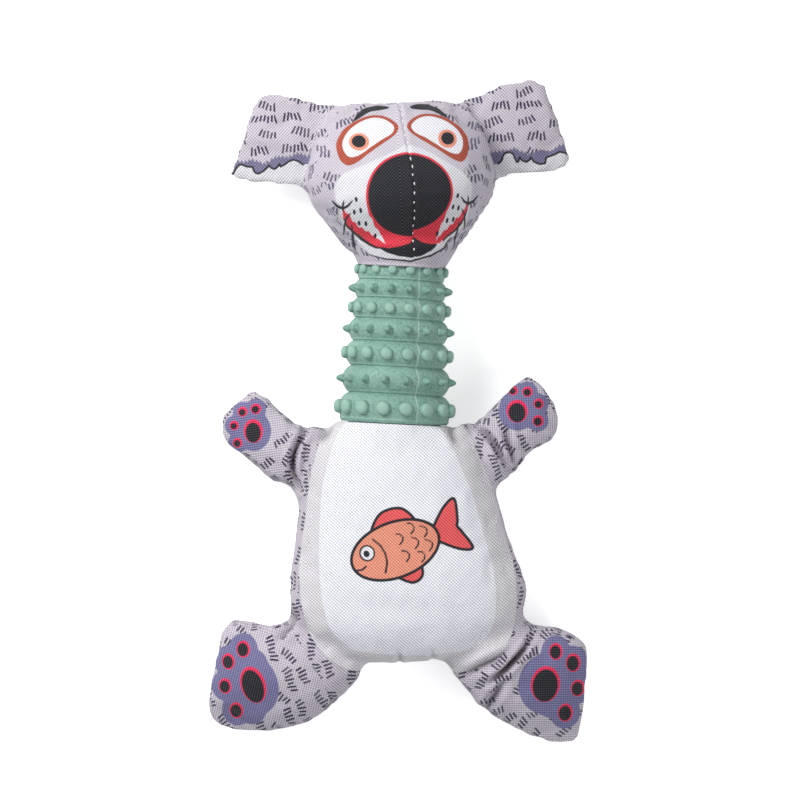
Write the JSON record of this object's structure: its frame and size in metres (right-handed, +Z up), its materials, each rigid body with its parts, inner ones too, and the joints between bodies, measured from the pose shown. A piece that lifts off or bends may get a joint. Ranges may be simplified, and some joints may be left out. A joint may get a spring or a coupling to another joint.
{
  "type": "squeaky dog toy",
  "caption": "Stuffed canvas animal lying on its back, with a long studded rubber neck sleeve, floppy limbs and ears, and a bellows squeaker in the belly.",
  "frame": {"origin": "middle of the flattened back of the torso, on the surface that the toy lies on", "axes": "+Z up out of the belly, +Y from the belly towards the head, +X towards the toy's right arm as seen from above"},
  "size_m": [0.197, 0.3329, 0.0726],
  "materials": {
    "printed_canvas": "matte printed plain-weave canvas",
    "moulded_rubber": "matte moulded rubber",
    "polyester_fibre": "loose fibre fill",
    "moulded_plastic": "soft moulded plastic",
    "reed_plastic": "moulded plastic"
  },
  "bodies": {
    "torso": {"torso_front_panel": "printed_canvas", "torso_back_panel": "printed_canvas", "torso_stuffing_front": "polyester_fibre", "torso_stuffing_back": "polyester_fibre", "squeaker_base": "moulded_plastic", "squeaker_reed": "reed_plastic", "squeaker_bellows": "moulded_plastic"},
    "squeaker_top": {"squeaker_cap": "moulded_plastic"},
    "left_arm": {"left_arm_front_panel": "printed_canvas", "left_arm_back_panel": "printed_canvas", "left_arm_stuffing": "polyester_fibre"},
    "right_arm": {"right_arm_front_panel": "printed_canvas", "right_arm_back_panel": "printed_canvas", "right_arm_stuffing": "polyester_fibre"},
    "left_leg": {"left_leg_front_panel": "printed_canvas", "left_leg_back_panel": "printed_canvas", "left_leg_stuffing": "polyester_fibre"},
    "right_leg": {"right_leg_front_panel": "printed_canvas", "right_leg_back_panel": "printed_canvas", "right_leg_stuffing": "polyester_fibre"},
    "neck": {"neck_sleeve": "moulded_rubber", "neck_tube": "printed_canvas", "neck_stuffing": "polyester_fibre"},
    "head": {"face_left_panel": "printed_canvas", "face_right_panel": "printed_canvas", "head_back_panel": "printed_canvas", "head_stuffing": "polyester_fibre"},
    "left_ear": {"left_ear_front_panel": "printed_canvas", "left_ear_back_panel": "printed_canvas", "left_ear_padding": "polyester_fibre"},
    "right_ear": {"right_ear_front_panel": "printed_canvas", "right_ear_back_panel": "printed_canvas", "right_ear_padding": "polyester_fibre"}
  },
  "joints": [
    {"name": "neck_sway", "type": "hinge", "parent": "torso", "child": "neck", "pos_m": [-0.00206, 0.04925, 0.031], "axis": [0, 0, 1], "range_deg": [-8, 12], "stiffness_Nm_per_rad": 1},
    {"name": "head_nod", "type": "hinge", "parent": "neck", "child": "head", "pos_m": [0.00902, 0.15653, 0.031], "axis": [0.9947, -0.1028, 0], "range_deg": [-15, 15], "stiffness_Nm_per_rad": 1},
    {"name": "left_ear_fold", "type": "hinge", "parent": "head", "child": "left_ear", "pos_m": [-0.03126, 0.20401, 0.0323], "axis": [0.3814, 0.9236, -0.0387], "range_deg": [-40, 60], "stiffness_Nm_per_rad": 0.08},
    {"name": "right_ear_fold", "type": "hinge", "parent": "head", "child": "right_ear", "pos_m": [0.04999, 0.20287, 0.02376], "axis": [0.3555, -0.9339, -0.0387], "range_deg": [-40, 60], "stiffness_Nm_per_rad": 0.08},
    {"name": "left_arm_fold", "type": "hinge", "parent": "torso", "child": "left_arm", "pos_m": [-0.04984, 0.04617, 0.031], "axis": [0.6428, 0.766, 0], "range_deg": [-25, 45], "stiffness_Nm_per_rad": 0.4},
    {"name": "right_arm_fold", "type": "hinge", "parent": "torso", "child": "right_arm", "pos_m": [0.04597, 0.04617, 0.031], "axis": [0.6947, -0.7193, 0], "range_deg": [-25, 45], "stiffness_Nm_per_rad": 0.4},
    {"name": "left_leg_fold", "type": "hinge", "parent": "torso", "child": "left_leg", "pos_m": [-0.04542, -0.05152, 0.031], "axis": [-0.4695, 0.8829, 0], "range_deg": [-20, 40], "stiffness_Nm_per_rad": 0.4},
    {"name": "right_leg_fold", "type": "hinge", "parent": "torso", "child": "right_leg", "pos_m": [0.04118, -0.05152, 0.031], "axis": [-0.7547, -0.6561, 0], "range_deg": [-20, 40], "stiffness_Nm_per_rad": 0.4},
    {"name": "squeaker_press", "type": "slide", "parent": "torso", "child": "squeaker_top", "axis": [0, 0, -1], "range_m": [0, 0.006], "stiffness_N_per_m": 600, "deforming": ["squeaker_bellows"]}
  ]
}
